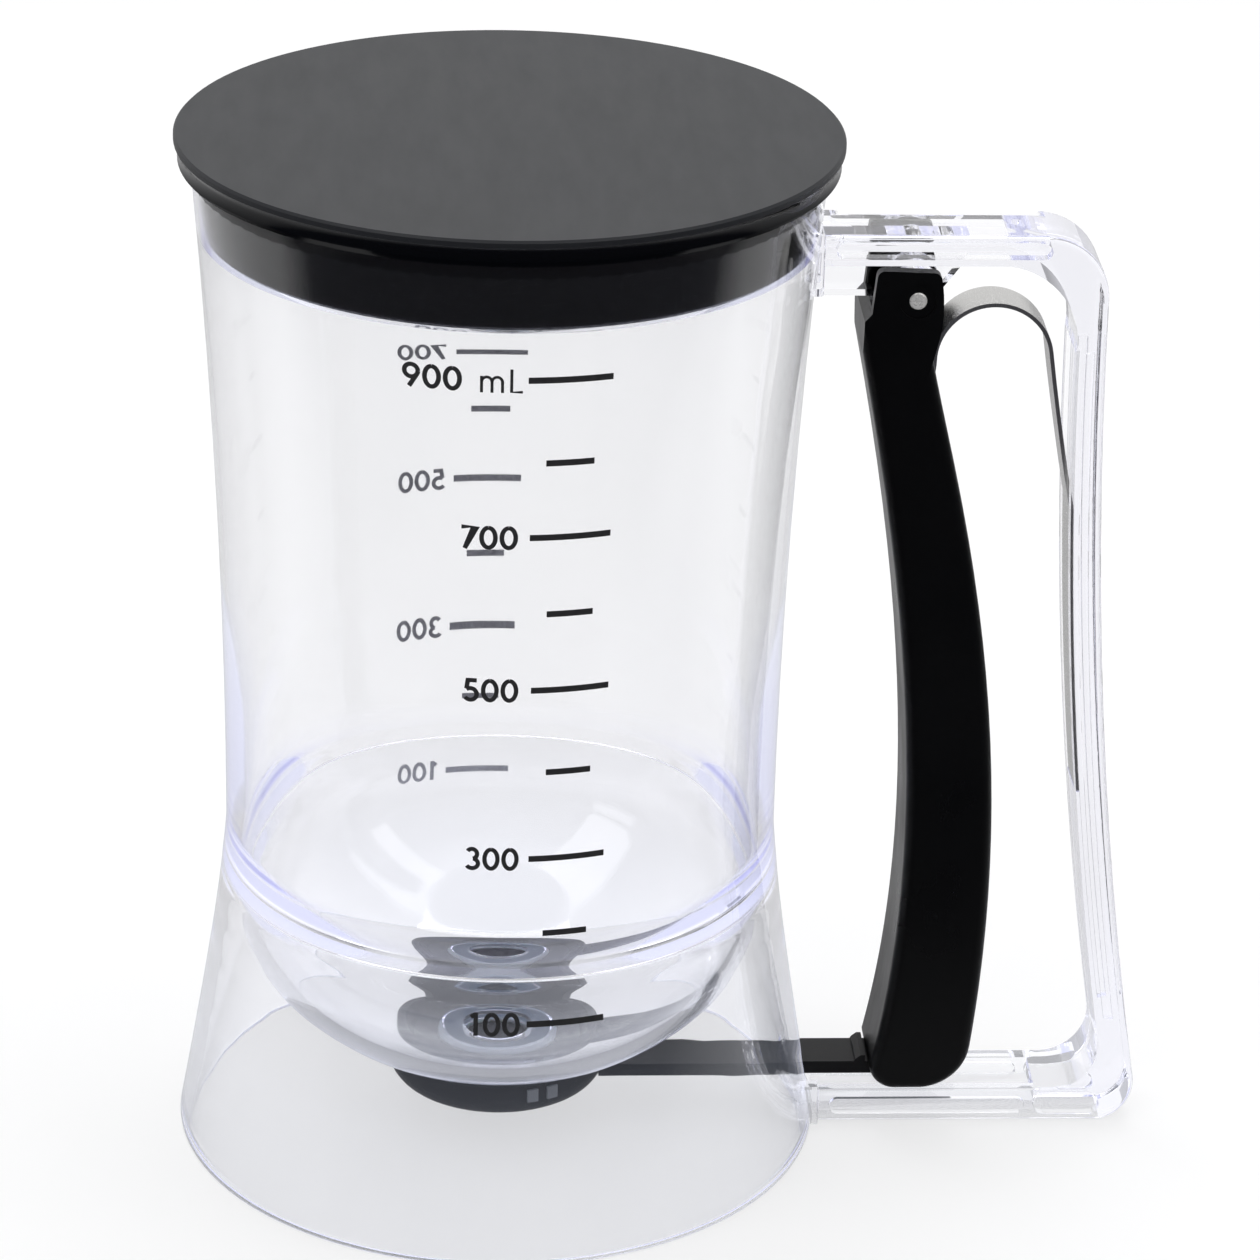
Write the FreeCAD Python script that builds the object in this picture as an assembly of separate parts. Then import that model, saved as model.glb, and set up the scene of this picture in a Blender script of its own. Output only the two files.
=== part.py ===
# Clear pancake batter dispenser with a squeeze trigger, in millimetres.
# The tank axis is the Z axis and the table is the plane z = 0.
# The handle points along +X, and the whole object mirrors in the plane y = 0.
import FreeCAD
import Part
import math
import os

V = FreeCAD.Vector

# Driving dimensions: fits
PIN_RADIAL_CLEARANCE = 0.06
LID_RADIAL_CLEARANCE = 0.10
SLOT_SIDE_CLEARANCE = 0.10
ARM_SIDE_CLEARANCE = 0.40
SPRING_SIDE_CLEARANCE = 0.40

# Driving dimensions: clear body
WALL = 2.5
TANK_RIM_Z = 181.5
TANK_RIM_R = 53.55
TANK_MID_Z = 118.0
TANK_MID_R = 48.3
BAND_TOP_Z = 59.0
BAND_TOP_R = 48.5
BAND_BOTTOM_Z = 52.0
BAND_BOTTOM_R = 49.2
SKIRT_MID_Z = 37.0
SKIRT_MID_R = 50.6
BASE_R = 57.4
RIM_ROUNDING = 0.8

# Driving dimensions: bowl and outlet
SEAT_Z = 12.8
SEAT_R = 10.6
OUTLET_R = 6.3
BOWL_WALL = 2.6
BOWL_DEPTH = 32.0
BOWL_GAP = 3.4

# Driving dimensions: lid
LID_STAND = 4.5
LID_OVERHANG = 2.7
LID_EDGE = 1.2
LID_PLATE = 2.2
PLUG_DEPTH = 10.2
PLUG_WALL = 1.9

# Driving dimensions: handle
HANDLE_HALF = 7.5
HANDLE_BELOW_RIM = 11.7
HANDLE_REACH = 48.15
HANDLE_FOOT_REACH = 57.9
TOP_BAR_DEPTH = 5.1
OUTER_CORNER_R = 11.5
OUTER_BAR_THICKNESS = 5.2
BOTTOM_BAR_TOP_Z = 6.4
FLANGE_HALF = 8.4
TOP_FLANGE_DEPTH = 10.3
TOP_FLANGE_INSET = 0.65
BOTTOM_FLANGE_OUTSET = 0.7
WEB_HALF = 2.5
WEB_DEPTH = 7.1
CHANNEL_DEPTH = 2.4

# Driving dimensions: pivot
PIN_REACH = 15.35
PIN_BELOW_BAR = 5.8
PIN_R = 1.5
LUG_R = 4.6

# Driving dimensions: trigger
LEVER_HALF = 9.0
LEVER_WALL = 2.2
LEVER_ROUNDING = 1.8
FOOT_REACH = 13.55
FOOT_FLOOR_Z = 13.6
RIB = 1.4

# Driving dimensions: return spring
STRIP = 0.7
STRIP_HALF = 4.3
ARCH_REACH = 13.9
ARCH_DROP = 12.3
ARCH_R = 10.0
ARCH_END_DEG = 8.5
SPRING_LENGTH = 81.0

# Driving dimensions: valve
ARM_HALF = 4.4
ARM = 2.4
CUP_R = 19.5
CUP_HEIGHT = 7.0
CUP_WALL = 2.0
CUP_FLOOR = 1.9
SEAL_INNER_R = 6.6
SEAL_OUTER_R = 11.4
SEAL = 3.2

# Derived sizes: bowl and lid
BOWL_OUTER_R = BAND_BOTTOM_R - BOWL_GAP
BOWL_INNER_R = BOWL_OUTER_R - BOWL_WALL
BOWL_SPRING_Z = SEAT_Z + 0.2 + BOWL_DEPTH
BOWL_INNER_DEPTH = BOWL_DEPTH - BOWL_WALL
LID_TOP_Z = TANK_RIM_Z + LID_STAND
LID_R = TANK_RIM_R + LID_OVERHANG
PLUG_BOTTOM_Z = TANK_RIM_Z - PLUG_DEPTH

# Derived sizes: valve, which hangs under the seat of the bowl
SEAL_UNDER_Z = SEAT_Z - SEAL
CUP_UNDER_Z = SEAL_UNDER_Z - CUP_FLOOR
CUP_RIM_Z = CUP_UNDER_Z + CUP_HEIGHT
BOSS_Z = SEAT_Z - 0.9
ARM_UNDER_Z = CUP_UNDER_Z + 0.7
ARM_TOP_Z = ARM_UNDER_Z + ARM
ARM_CHANNEL_HALF = ARM_HALF + ARM_SIDE_CLEARANCE
ARM_CHANNEL_FLOOR_Z = BOTTOM_BAR_TOP_Z - 3.0
WINDOW_TOP_Z = ARM_TOP_Z + 1.6

# Derived sizes: handle, which follows the rim above and the base below
HANDLE_ROOT_X = TANK_MID_R - 4.3
TOP_BAR_TOP_Z = TANK_RIM_Z - HANDLE_BELOW_RIM
TOP_BAR_UNDER_Z = TOP_BAR_TOP_Z - TOP_BAR_DEPTH
OUTER_BAR_X = TANK_RIM_R + HANDLE_REACH
OUTER_BAR_MID_X = OUTER_BAR_X + 0.3
OUTER_BAR_LOW_X = BASE_R + HANDLE_FOOT_REACH
OUTER_BAR_LOW_Z = BOTTOM_BAR_TOP_Z + 2.6
OUTER_BAR_MID_Z = (TOP_BAR_TOP_Z + OUTER_BAR_LOW_Z) / 2 - 4.4
INNER_BAR_X = OUTER_BAR_X - OUTER_BAR_THICKNESS
INNER_BAR_LOW_X = OUTER_BAR_LOW_X - OUTER_BAR_THICKNESS - 1.7
TOP_FLANGE_X = TANK_RIM_R - TOP_FLANGE_INSET
BOTTOM_FLANGE_X = BASE_R + BOTTOM_FLANGE_OUTSET
WEB_BOTTOM_Z = TOP_BAR_UNDER_Z - WEB_DEPTH

# Derived sizes: pivot, trigger and spring
PIN_X = TANK_RIM_R + PIN_REACH
PIN_Z = TOP_BAR_UNDER_Z - PIN_BELOW_BAR
CAVITY_HALF = LEVER_HALF - LEVER_WALL
LUG_HALF = CAVITY_HALF - SLOT_SIDE_CLEARANCE
FOOT_X = TANK_RIM_R + FOOT_REACH
FOOT_Z = ARM_TOP_Z + 0.6
ARM_TONGUE_X = FOOT_X + 9.9
ARCH_X = PIN_X + ARCH_REACH
ARCH_Z = PIN_Z - ARCH_DROP
LEVER_LEG_Z = ARCH_Z - 14.0
SPRING_TOUCH_Z = ARCH_Z - 27.0
SPRING_STOP_Z = ARCH_Z - SPRING_LENGTH
SPRING_CHANNEL_HALF = STRIP_HALF + SPRING_SIDE_CLEARANCE
SPRING_CHANNEL_DEPTH = STRIP + 0.1
RIB_HIGH_Z = LEVER_LEG_Z - 20.6
RIB_LOW_Z = FOOT_FLOOR_Z + 14.4


def line(a, b):
    return Part.LineSegment(a, b).toShape()


def bezier(points):
    curve = Part.BezierCurve()
    curve.setPoles(points)
    return curve.toShape()


def arc(a, b, c):
    return Part.Arc(a, b, c).toShape()


def section(edges):
    return Part.Face(Part.Wire(edges))


def polygon(points):
    return Part.Face(Part.makePolygon(points + [points[0]]))


def slab(face, half):
    # A face in the plane y = 0, thickened evenly to both sides.
    moved = face.translated(V(0, -half, 0))
    return moved.extrude(V(0, 2 * half, 0))


def block(x0, x1, y0, y1, z0, z1):
    return Part.makeBox(x1 - x0, y1 - y0, z1 - z0, V(x0, y0, z0))


def turned(face):
    return face.revolve(V(0, 0, 0), V(0, 0, 1), 360)


def by_pin(dx, dz):
    # A point of the side view, placed from the pin.
    return V(PIN_X + dx, 0, PIN_Z + dz)


def by_foot(dx, dz):
    # A point of the side view, placed from the front of the lever's foot.
    return V(FOOT_X + dx, 0, FOOT_Z + dz)


def cross_pin(x, z, radius, half):
    return Part.makeCylinder(radius, 2 * half, V(x, -half, z), V(0, 1, 0))


def one_solid(shape):
    # The single solid of a boolean result, with its seams merged.
    return shape.Solids[0].removeSplitter() if len(shape.Solids) == 1 else shape


def both_sides(tool):
    return tool.fuse(tool.mirror(V(0, 0, 0), V(0, 1, 0)))


def tank_poles(inset):
    return [
        V(BAND_TOP_R - inset, 0, BAND_TOP_Z),
        V(TANK_MID_R - inset, 0, TANK_MID_Z),
        V(TANK_RIM_R - inset, 0, TANK_RIM_Z),
    ]


def skirt_poles(inset):
    return [
        V(BAND_BOTTOM_R - inset, 0, BAND_BOTTOM_Z),
        V(SKIRT_MID_R - inset, 0, SKIRT_MID_Z),
        V(BASE_R - inset, 0, 0),
    ]


def tank_radius(z, inset):
    # Radius of the tank wall at a height, read from its own curve.
    curve = Part.BezierCurve()
    curve.setPoles(tank_poles(inset))
    low, high = 0.0, 1.0
    for _ in range(40):
        middle = (low + high) / 2
        if curve.value(middle).z < z:
            low = middle
        else:
            high = middle
    return curve.value(low).x


def body_envelope():
    # Everything inside the outer surface of the clear body.
    outer = [
        line(V(0, 0, TANK_RIM_Z), V(TANK_RIM_R, 0, TANK_RIM_Z)),
        bezier(tank_poles(0)[::-1]),
        line(V(BAND_TOP_R, 0, BAND_TOP_Z), V(BAND_BOTTOM_R, 0, BAND_BOTTOM_Z)),
        bezier(skirt_poles(0)),
        line(V(BASE_R, 0, 0), V(0, 0, 0)),
        line(V(0, 0, 0), V(0, 0, TANK_RIM_Z)),
    ]
    return turned(section(outer))


# Tank wall
tank_profile = section(
    [
        bezier(tank_poles(0)),
        line(tank_poles(0)[2], tank_poles(WALL)[2]),
        bezier(tank_poles(WALL)[::-1]),
        line(tank_poles(WALL)[0], tank_poles(0)[0]),
    ]
)
tank_wall = turned(tank_profile)
rim_edges = [e for e in tank_wall.Edges if abs(e.BoundBox.ZMin - TANK_RIM_Z) < 1e-6]
rim_edges = [e for e in rim_edges if e.BoundBox.ZLength < 1e-6]
tank_wall = one_solid(tank_wall.makeFillet(RIM_ROUNDING, rim_edges))


# Bowl with its flush waist band and its outlet seat
def bowl_ellipse(radius, depth):
    centre = V(0, 0, BOWL_SPRING_Z)
    return Part.Ellipse(V(radius, 0, BOWL_SPRING_Z), V(0, 0, BOWL_SPRING_Z - depth), centre)


def bowl_point(radius, depth, at_radius):
    drop = depth * math.sqrt(1 - (at_radius / radius) ** 2)
    return V(at_radius, 0, BOWL_SPRING_Z - drop)


def bowl_arc(radius, depth, at_radius):
    # Quarter ellipse from the spring line down to the given radius.
    shape = bowl_ellipse(radius, depth)
    start = shape.parameter(V(radius, 0, BOWL_SPRING_Z))
    end = shape.parameter(bowl_point(radius, depth, at_radius))
    return Part.ArcOfEllipse(shape, start, end).toShape()


bowl_neck_top = bowl_point(BOWL_OUTER_R, BOWL_DEPTH, SEAT_R)
bowl_inner_low = bowl_point(BOWL_INNER_R, BOWL_INNER_DEPTH, OUTLET_R + 1.0)
bowl_shoulder = V(BOWL_OUTER_R + 0.2, 0, BAND_BOTTOM_Z)
hopper_profile = section(
    [
        line(V(BAND_TOP_R, 0, BAND_TOP_Z), V(BAND_BOTTOM_R, 0, BAND_BOTTOM_Z)),
        line(V(BAND_BOTTOM_R, 0, BAND_BOTTOM_Z), bowl_shoulder),
        line(bowl_shoulder, V(BOWL_OUTER_R, 0, BOWL_SPRING_Z)),
        bowl_arc(BOWL_OUTER_R, BOWL_DEPTH, SEAT_R),
        line(bowl_neck_top, V(SEAT_R, 0, SEAT_Z)),
        line(V(SEAT_R, 0, SEAT_Z), V(OUTLET_R, 0, SEAT_Z)),
        line(V(OUTLET_R, 0, SEAT_Z), V(OUTLET_R, 0, bowl_inner_low.z - 0.8)),
        line(V(OUTLET_R, 0, bowl_inner_low.z - 0.8), bowl_inner_low),
        bowl_arc(BOWL_INNER_R, BOWL_INNER_DEPTH, OUTLET_R + 1.0),
        line(V(BOWL_INNER_R, 0, BOWL_SPRING_Z), V(BAND_TOP_R - WALL, 0, BAND_TOP_Z)),
        line(V(BAND_TOP_R - WALL, 0, BAND_TOP_Z), V(BAND_TOP_R, 0, BAND_TOP_Z)),
    ]
)
hopper_bowl = turned(hopper_profile)

# Base skirt with the window that the valve arm runs through
skirt_profile = section(
    [
        bezier(skirt_poles(0)),
        line(skirt_poles(0)[2], skirt_poles(WALL)[2]),
        bezier(skirt_poles(WALL)[::-1]),
        line(skirt_poles(WALL)[0], skirt_poles(0)[0]),
    ]
)
arm_window = block(
    BASE_R - 12, BASE_R + 7, -ARM_CHANNEL_HALF, ARM_CHANNEL_HALF, ARM_CHANNEL_FLOOR_Z, WINDOW_TOP_Z
)
base_skirt = turned(skirt_profile)
foot_edges = [e for e in base_skirt.Edges if abs(e.BoundBox.ZMax) < 1e-6]
foot_edges = [e for e in foot_edges if e.BoundBox.ZLength < 1e-6]
base_skirt = base_skirt.makeFillet(0.6, foot_edges)
base_skirt = one_solid(base_skirt.cut(arm_window))


# Handle frame
def bar_poles(inset):
    # The outer bar leans outward toward its foot; inset 0 is its outer face.
    return [
        V(OUTER_BAR_X - inset, 0, TOP_BAR_TOP_Z - OUTER_CORNER_R),
        V(OUTER_BAR_MID_X - inset, 0, OUTER_BAR_MID_Z),
        V(OUTER_BAR_LOW_X - inset * 1.2, 0, OUTER_BAR_LOW_Z),
    ]


def inner_poles(inset):
    # The face of the outer bar that looks at the trigger.
    return [
        V(INNER_BAR_X + inset, 0, TOP_BAR_UNDER_Z - 15.7),
        V(INNER_BAR_X + 0.5 + inset, 0, OUTER_BAR_MID_Z - 1.0),
        V(INNER_BAR_LOW_X + inset, 0, OUTER_BAR_LOW_Z + 7.0),
    ]


corner_drop = OUTER_CORNER_R * (1 - math.cos(math.radians(45)))
low_corner = V(OUTER_BAR_LOW_X - 1.5, 0, 2.6)
low_end = V(OUTER_BAR_LOW_X - 5.6, 0, 0)
outer_loop = section(
    [
        line(V(HANDLE_ROOT_X, 0, 0), V(HANDLE_ROOT_X, 0, TOP_BAR_TOP_Z)),
        line(V(HANDLE_ROOT_X, 0, TOP_BAR_TOP_Z), V(OUTER_BAR_X - OUTER_CORNER_R, 0, TOP_BAR_TOP_Z)),
        arc(
            V(OUTER_BAR_X - OUTER_CORNER_R, 0, TOP_BAR_TOP_Z),
            V(OUTER_BAR_X - corner_drop, 0, TOP_BAR_TOP_Z - corner_drop),
            bar_poles(0)[0],
        ),
        bezier(bar_poles(0)),
        arc(bar_poles(0)[2], low_corner, low_end),
        line(low_end, V(HANDLE_ROOT_X, 0, 0)),
    ]
)
high_bend = V(INNER_BAR_X - 12.0, 0, TOP_BAR_UNDER_Z)
high_middle = V(INNER_BAR_X - 3.6, 0, TOP_BAR_UNDER_Z - 4.4)
low_middle = V(INNER_BAR_LOW_X - 2.3, 0, BOTTOM_BAR_TOP_Z + 2.8)
low_bend = V(INNER_BAR_LOW_X - 9.4, 0, BOTTOM_BAR_TOP_Z)
inner_loop = section(
    [
        line(V(HANDLE_ROOT_X, 0, TOP_BAR_UNDER_Z), high_bend),
        arc(high_bend, high_middle, inner_poles(0)[0]),
        bezier(inner_poles(0)),
        arc(inner_poles(0)[2], low_middle, low_bend),
        line(low_bend, V(HANDLE_ROOT_X, 0, BOTTOM_BAR_TOP_Z)),
        line(V(HANDLE_ROOT_X, 0, BOTTOM_BAR_TOP_Z), V(HANDLE_ROOT_X, 0, TOP_BAR_UNDER_Z)),
    ]
)
outer_prism = slab(outer_loop, HANDLE_HALF)
outer_long = [e for e in outer_prism.Edges if e.BoundBox.YLength < 1e-6]
outer_long = [e for e in outer_long if e.BoundBox.XMax > HANDLE_ROOT_X + 1]
outer_prism = outer_prism.makeFillet(1.2, outer_long)
inner_prism = slab(inner_loop, HANDLE_HALF + 1)
handle = outer_prism.cut(inner_prism)

# End flanges that sit on the tank and on the skirt
flange_low_z = TOP_BAR_TOP_Z - TOP_FLANGE_DEPTH
flange_high_z = TOP_BAR_TOP_Z + 0.5
top_flange = block(HANDLE_ROOT_X, TOP_FLANGE_X, -FLANGE_HALF, FLANGE_HALF, flange_low_z, flange_high_z)
bottom_flange = block(
    HANDLE_ROOT_X, BOTTOM_FLANGE_X, -FLANGE_HALF, FLANGE_HALF, 0, BOTTOM_BAR_TOP_Z + 0.8
)
top_upright = [e for e in top_flange.Edges if e.BoundBox.XMin > TOP_FLANGE_X - 1e-6]
top_flange = top_flange.makeFillet(0.4, top_upright)
bottom_upright = [
    e
    for e in bottom_flange.Edges
    if e.BoundBox.XMin > BOTTOM_FLANGE_X - 1e-6 and e.BoundBox.ZMax > 1
]
bottom_flange = bottom_flange.makeFillet(0.4, bottom_upright)

# Web under the top bar, and the pivot lug at its end
web_face = polygon(
    [
        V(HANDLE_ROOT_X, 0, WEB_BOTTOM_Z),
        V(PIN_X, 0, WEB_BOTTOM_Z),
        V(PIN_X + 4.7, 0, PIN_Z),
        V(PIN_X + 9.4, 0, TOP_BAR_UNDER_Z + 0.5),
        V(HANDLE_ROOT_X, 0, TOP_BAR_UNDER_Z + 0.5),
    ]
)
web = slab(web_face, WEB_HALF)
lug = cross_pin(PIN_X, PIN_Z, LUG_R, LUG_HALF)
handle = handle.fuse([top_flange, bottom_flange, web, lug])
handle = handle.cut(cross_pin(PIN_X, PIN_Z, PIN_R + PIN_RADIAL_CLEARANCE, LUG_HALF + 1))
handle = handle.cut(body_envelope())
handle = handle.cut(arm_window)


# Side channels of the handle
def side_slot(x0, x1, z_middle, half_height, depth):
    # Round-ended recess in the near face, mirrored to the far face.
    y0 = HANDLE_HALF - depth
    tool = block(x0 + half_height, x1 - half_height, y0, 20, z_middle - half_height, z_middle + half_height)
    for x in (x0 + half_height, x1 - half_height):
        end = Part.makeCylinder(half_height, 20 - y0, V(x, y0, z_middle), V(0, 1, 0))
        tool = tool.fuse(end)
    return both_sides(tool)


bar_slot_face = section(
    [
        bezier(inner_poles(1.55)),
        line(inner_poles(1.55)[2], inner_poles(3.25)[2]),
        bezier(inner_poles(3.25)[::-1]),
        line(inner_poles(3.25)[0], inner_poles(1.55)[0]),
    ]
)
bar_slot = bar_slot_face.translated(V(0, HANDLE_HALF - 1.4, 0)).extrude(V(0, 5, 0))
bar_slot = bar_slot.common(
    block(PIN_X, OUTER_BAR_LOW_X, 0, 20, OUTER_BAR_LOW_Z + 12, TOP_BAR_UNDER_Z - 14.7)
)
top_slot_z = (TOP_BAR_TOP_Z + TOP_BAR_UNDER_Z) / 2
low_slot_z = BOTTOM_BAR_TOP_Z / 2
pocket_x = OUTER_BAR_LOW_X - 18.0
handle = handle.cut(side_slot(TOP_FLANGE_X + 2.0, OUTER_BAR_X - 10.2, top_slot_z, 1.35, CHANNEL_DEPTH))
handle = handle.cut(side_slot(BOTTOM_FLANGE_X + 2.0, pocket_x - 1.6, low_slot_z, 1.55, 1.3))
handle = handle.cut(side_slot(pocket_x, OUTER_BAR_LOW_X - 6.0, low_slot_z + 0.2, 2.0, 1.7))
handle = handle.cut(both_sides(bar_slot))

# Channel for the return spring in the inner face of the outer bar
spring_face = section(
    [
        bezier(inner_poles(-2)),
        line(inner_poles(-2)[2], inner_poles(SPRING_CHANNEL_DEPTH)[2]),
        bezier(inner_poles(SPRING_CHANNEL_DEPTH)[::-1]),
        line(inner_poles(SPRING_CHANNEL_DEPTH)[0], inner_poles(-2)[0]),
    ]
)
spring_channel = slab(spring_face, SPRING_CHANNEL_HALF)
spring_channel = spring_channel.common(
    block(PIN_X, OUTER_BAR_LOW_X, -20, 20, SPRING_STOP_Z, TOP_BAR_UNDER_Z - 4.7)
)
handle = handle.cut(spring_channel)

# Channel for the arm along the top of the bottom bar
arm_channel = block(
    BASE_R - 7, OUTER_BAR_LOW_X - 17.8, -ARM_CHANNEL_HALF, ARM_CHANNEL_HALF,
    ARM_CHANNEL_FLOOR_Z, BOTTOM_BAR_TOP_Z + 1
)
handle_frame = one_solid(handle.cut(arm_channel))

# Lid: thin disc edge, sloping underside, plug ring that seats in the tank
plug_low_r = tank_radius(PLUG_BOTTOM_Z, WALL) - LID_RADIAL_CLEARANCE
plug_high_r = tank_radius(TANK_RIM_Z - RIM_ROUNDING, WALL) - LID_RADIAL_CLEARANCE
lid_profile = polygon(
    [
        V(0, 0, LID_TOP_Z),
        V(LID_R - 0.4, 0, LID_TOP_Z),
        V(LID_R, 0, LID_TOP_Z - 0.4),
        V(LID_R, 0, LID_TOP_Z - LID_EDGE),
        V(TANK_RIM_R + 0.2, 0, TANK_RIM_Z),
        V(plug_high_r, 0, TANK_RIM_Z),
        V(plug_high_r, 0, TANK_RIM_Z - RIM_ROUNDING),
        V(plug_low_r, 0, PLUG_BOTTOM_Z + 0.5),
        V(plug_low_r - 0.5, 0, PLUG_BOTTOM_Z),
        V(plug_low_r - PLUG_WALL, 0, PLUG_BOTTOM_Z),
        V(plug_low_r - PLUG_WALL, 0, LID_TOP_Z - LID_PLATE - 1.0),
        V(plug_low_r - PLUG_WALL - 1.0, 0, LID_TOP_Z - LID_PLATE),
        V(0, 0, LID_TOP_Z - LID_PLATE),
    ]
)
lid = turned(lid_profile)

# Trigger lever: front and back edges of its side view
front_poles = [by_pin(-8.9, -9.9), by_pin(-2.4, -40.9), by_foot(10.4, 50.6), by_foot(0, 0)]
back_poles = [by_pin(3.1, -10.4), by_pin(7.0, -30.1), by_foot(25.3, 70.1), by_foot(18.0, 4.2)]
lever_face = section(
    [
        bezier(front_poles),
        arc(front_poles[3], by_foot(1.5, -3.0), by_foot(5.1, -4.2)),
        line(by_foot(5.1, -4.2), by_foot(9.3, -4.2)),
        arc(by_foot(9.3, -4.2), by_foot(15.3, -1.5), back_poles[3]),
        bezier(back_poles[::-1]),
        arc(back_poles[0], by_pin(3.6, -8.3), by_pin(4.1, -6.0)),
        arc(by_pin(4.1, -6.0), by_pin(4.4, -1.0), by_pin(3.9, 3.9)),
        arc(by_pin(3.9, 3.9), by_pin(3.5, 4.7), by_pin(2.6, 5.1)),
        line(by_pin(2.6, 5.1), by_pin(-5.7, 5.4)),
        arc(by_pin(-5.7, 5.4), by_pin(-6.7, 5.0), by_pin(-7.1, 4.0)),
        line(by_pin(-7.1, 4.0), by_pin(-7.7, -2.3)),
        line(by_pin(-7.7, -2.3), by_pin(-8.9, -3.7)),
        line(by_pin(-8.9, -3.7), front_poles[0]),
    ]
)
lever_outer = slab(lever_face, LEVER_HALF)
side_edges = [e for e in lever_outer.Edges if e.BoundBox.YLength < 1e-6]
side_edges = [e for e in side_edges if e.BoundBox.ZMin < FOOT_FLOOR_Z + 6]
side_edges = [e for e in side_edges if e.BoundBox.XMax < back_poles[3].x + 1]
lever_outer = lever_outer.makeFillet(LEVER_ROUNDING, side_edges)

# Open channel of the lever: behind the front wall and above the foot
channel_poles = [V(p.x + LEVER_WALL, 0, p.z) for p in front_poles]
channel_top = by_pin(-8.9 + LEVER_WALL, -1.7)
channel_face = section(
    [
        line(channel_poles[0], channel_top),
        line(channel_top, by_pin(-20, -1.7)),
        line(by_pin(-20, -1.7), by_pin(-20, 16)),
        line(by_pin(-20, 16), V(OUTER_BAR_LOW_X, 0, PIN_Z + 16)),
        line(V(OUTER_BAR_LOW_X, 0, PIN_Z + 16), V(OUTER_BAR_LOW_X, 0, FOOT_Z)),
        line(V(OUTER_BAR_LOW_X, 0, FOOT_Z), channel_poles[3]),
        bezier(channel_poles[::-1]),
    ]
)
channel = slab(channel_face, CAVITY_HALF)
channel = channel.common(
    block(HANDLE_ROOT_X, OUTER_BAR_LOW_X, -20, 20, FOOT_FLOOR_Z, PIN_Z + 20)
)
lever = lever_outer.cut(channel)

# Stiffening ribs across the channel
for step in range(4):
    rib_z = RIB_HIGH_Z - step * (RIB_HIGH_Z - RIB_LOW_Z) / 3
    rib = block(HANDLE_ROOT_X, OUTER_BAR_LOW_X, -CAVITY_HALF, CAVITY_HALF, rib_z - RIB / 2, rib_z + RIB / 2)
    rib = rib.common(slab(lever_face, CAVITY_HALF))
    recess = slab(lever_face.translated(V(-3.0, 0, 0)), CAVITY_HALF)
    lever = lever.fuse(rib.common(recess))

# Shallow round recess round the pin, and the bore of the pin
ear_recess = Part.makeCylinder(3.1, 2, V(PIN_X, LEVER_HALF - 0.35, PIN_Z), V(0, 1, 0))
lever = lever.cut(both_sides(ear_recess))
lever = lever.cut(cross_pin(PIN_X, PIN_Z, PIN_R, 20))

# Socket for the tongue of the valve arm
arm_socket = block(FOOT_X - 7, ARM_TONGUE_X, -ARM_HALF, ARM_HALF, ARM_UNDER_Z, ARM_TOP_Z)
trigger_lever = one_solid(lever.cut(arm_socket))

# Pivot pin
pivot_pin = cross_pin(PIN_X, PIN_Z, PIN_R, LEVER_HALF - 0.1)
pin_edges = [e for e in pivot_pin.Edges if e.BoundBox.YLength < 1e-6]
pivot_pin = one_solid(pivot_pin.makeChamfer(0.2, pin_edges))

# Return spring: leg in the lever, arch over the gap, leg along the outer bar
def curve_of(points):
    curve = Part.BezierCurve()
    curve.setPoles(points)
    return curve


def parameter_at_z(curve, z):
    # The curves here fall steadily, so halving finds the height.
    low, high = 0.0, 1.0
    for _ in range(40):
        middle = (low + high) / 2
        if curve.value(middle).z > z:
            low = middle
        else:
            high = middle
    return low


def strip_path(offset):
    # One long face of the strip, at a signed distance from its centre line.
    radius = ARCH_R + offset
    turn = math.radians(ARCH_END_DEG)
    left = V(ARCH_X - radius, 0, ARCH_Z)
    top = V(ARCH_X, 0, ARCH_Z + radius)
    right = V(ARCH_X + radius * math.cos(turn), 0, ARCH_Z + radius * math.sin(turn))
    leave = V(right.x + 12 * math.sin(turn), 0, right.z - 12 * math.cos(turn))
    wall = curve_of(channel_poles)
    seat = wall.value(parameter_at_z(wall, LEVER_LEG_Z))
    across = STRIP / 2 - offset
    lever_end = V(seat.x + 0.8 * across, 0, seat.z - 0.6 * across)
    lever_leg = bezier([lever_end, V(left.x, 0, ARCH_Z - 7), left])
    floor = curve_of(inner_poles(SPRING_CHANNEL_DEPTH - STRIP / 2 + offset))
    touch = parameter_at_z(floor, SPRING_TOUCH_Z)
    stop = parameter_at_z(floor, SPRING_STOP_Z)
    bar_top = bezier([right, leave, floor.value(touch)])
    bar_leg = Part.Edge(floor, touch, stop)
    path = [lever_leg, arc(left, top, right), bar_top, bar_leg]
    return path, lever_end, floor.value(stop)


outside, outside_start, outside_end = strip_path(STRIP / 2)
inside, inside_start, inside_end = strip_path(-STRIP / 2)
spring_profile = section(
    outside
    + [line(outside_end, inside_end)]
    + inside[::-1]
    + [line(inside_start, outside_start)]
)
return_spring = slab(spring_profile, STRIP_HALF)

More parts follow.
